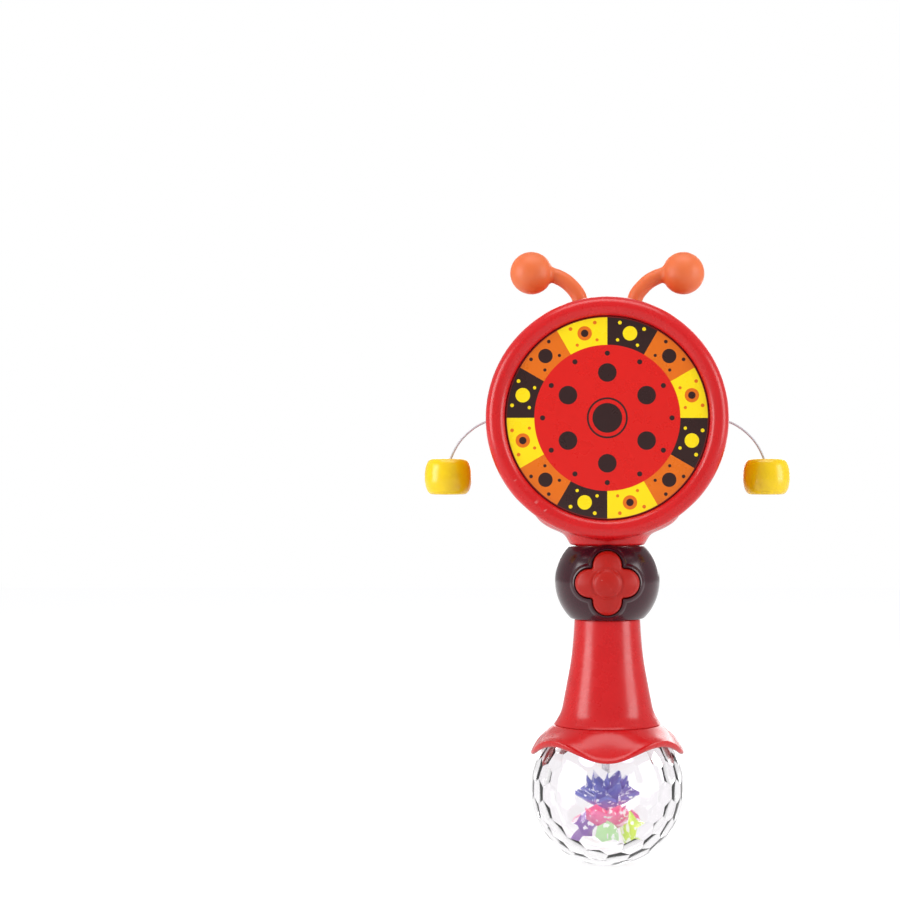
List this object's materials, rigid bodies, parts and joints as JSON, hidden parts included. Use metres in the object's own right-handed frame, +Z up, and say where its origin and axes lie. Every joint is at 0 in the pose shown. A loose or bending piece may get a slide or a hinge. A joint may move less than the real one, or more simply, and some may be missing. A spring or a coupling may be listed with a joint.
{
  "type": "toy rattle drum",
  "caption": "Hand-held plastic rattle drum: round drum with ball-tipped antennae and beads on cords, neck ball with a flower button, tapered handle, faceted clear light ball.",
  "frame": {"origin": "centre of the flat foot facet under the clear ball, on the handle's axis", "axes": "+Z up along the handle to the drum, +Y from the front drum head to the rear, +X to the right as the toy is seen from the front"},
  "size_m": [0.1606, 0.067, 0.2686],
  "materials": {
    "red_plastic": "gloss",
    "brown_plastic": "gloss",
    "button_plastic": "satin",
    "orange_rubber": "satin",
    "bead_plastic": "gloss",
    "printed_head": "printed, gloss",
    "clear_plastic": "clear, faceted",
    "white_plastic": "satin",
    "nylon_cord": "braided",
    "steel": "bright",
    "circuit_board": "satin",
    "grey_rubber": "matt",
    "cell_wrap": "gloss",
    "lamp_lens": "clear",
    "black_plastic": "matt",
    "violet_plastic": "gloss",
    "pink_plastic": "gloss",
    "purple_plastic": "gloss",
    "green_plastic": "gloss",
    "lime_plastic": "gloss",
    "magenta_plastic": "gloss",
    "orange_plastic": "gloss"
  },
  "bodies": {
    "toy": {"antenna_left": "orange_rubber", "antenna_right": "orange_rubber", "battery_contact_bridge": "steel", "battery_contact_left": "steel", "battery_contact_right": "steel", "battery_left": "cell_wrap", "battery_right": "cell_wrap", "battery_tray": "black_plastic", "clear_ball": "clear_plastic", "cord_anchor_left": "nylon_cord", "cord_anchor_right": "nylon_cord", "drum_casing_front": "red_plastic", "drum_casing_rear": "red_plastic", "drum_head_front": "printed_head", "drum_head_rear": "printed_head", "drum_screw_lower_left": "steel", "drum_screw_lower_right": "steel", "drum_screw_upper_left": "steel", "drum_screw_upper_right": "steel", "handle_front": "red_plastic", "handle_rear": "red_plastic", "handle_screw_left": "steel", "handle_screw_right": "steel", "lamp_1": "lamp_lens", "lamp_2": "lamp_lens", "lamp_3": "lamp_lens", "lamp_tray": "white_plastic", "motor": "steel", "neck_ball_front": "brown_plastic", "neck_ball_rear": "brown_plastic", "neck_screw_left": "steel", "neck_screw_right": "steel", "petal_skirt": "red_plastic", "sound_board": "circuit_board", "speaker": "black_plastic", "switch_dome": "grey_rubber"},
    "button": {"flower_button": "button_plastic"},
    "battery_door": {"battery_door": "red_plastic", "battery_door_screw": "steel"},
    "spinner": {"spinner_shaft": "steel", "chip_carrier": "white_plastic", "star_lower": "pink_plastic", "star_upper": "violet_plastic", "chip_green": "green_plastic", "chip_lime": "lime_plastic", "chip_magenta": "magenta_plastic", "chip_orange": "orange_plastic", "chip_pink": "pink_plastic", "chip_purple": "purple_plastic"},
    "cord_root_left": {"cord_root_left": "nylon_cord"},
    "cord_left": {"cord_left": "nylon_cord", "bead_knot_left": "nylon_cord"},
    "bead_left": {"bead_left": "bead_plastic"},
    "cord_root_right": {"cord_root_right": "nylon_cord"},
    "cord_right": {"cord_right": "nylon_cord", "bead_knot_right": "nylon_cord"},
    "bead_right": {"bead_right": "bead_plastic"}
  },
  "joints": [
    {"name": "button_press", "type": "slide", "parent": "toy", "child": "button", "axis": [0, 1, 0], "range_m": [0, 0.0015], "stiffness_N_per_m": 250, "springref_m": -0.0004, "deforming": ["switch_dome"]},
    {"name": "battery_door_lift", "type": "slide", "parent": "toy", "child": "battery_door", "axis": [0, 1, 0], "range_m": [0, 0.02]},
    {"name": "spinner_turn", "type": "hinge", "parent": "toy", "child": "spinner", "pos_m": [0, 0, 0.0143], "axis": [0, 0, 1], "continuous": true},
    {"name": "cord_swing_left", "type": "hinge", "parent": "toy", "child": "cord_root_left", "pos_m": [-0.0469, 0, 0.19531], "axis": [0, 0, 1], "range_deg": [-50, 50], "stiffness_Nm_per_rad": 0.008},
    {"name": "cord_lift_left", "type": "hinge", "parent": "cord_root_left", "child": "cord_left", "pos_m": [-0.0492, 0, 0.19531], "axis": [0, 1, 0], "range_deg": [-20, 90], "stiffness_Nm_per_rad": 0.008, "springref_deg": 7.16},
    {"name": "bead_spin_left", "type": "hinge", "parent": "cord_left", "child": "bead_left", "pos_m": [-0.07, 0, 0.16981], "axis": [0, 0, 1], "continuous": true},
    {"name": "cord_swing_right", "type": "hinge", "parent": "toy", "child": "cord_root_right", "pos_m": [0.0469, 0, 0.19531], "axis": [0, 0, 1], "range_deg": [-50, 50], "stiffness_Nm_per_rad": 0.008},
    {"name": "cord_lift_right", "type": "hinge", "parent": "cord_root_right", "child": "cord_right", "pos_m": [0.0492, 0, 0.19531], "axis": [0, -1, 0], "range_deg": [-20, 90], "stiffness_Nm_per_rad": 0.008, "springref_deg": 7.16},
    {"name": "bead_spin_right", "type": "hinge", "parent": "cord_right", "child": "bead_right", "pos_m": [0.07, 0, 0.16981], "axis": [0, 0, 1], "continuous": true}
  ]
}
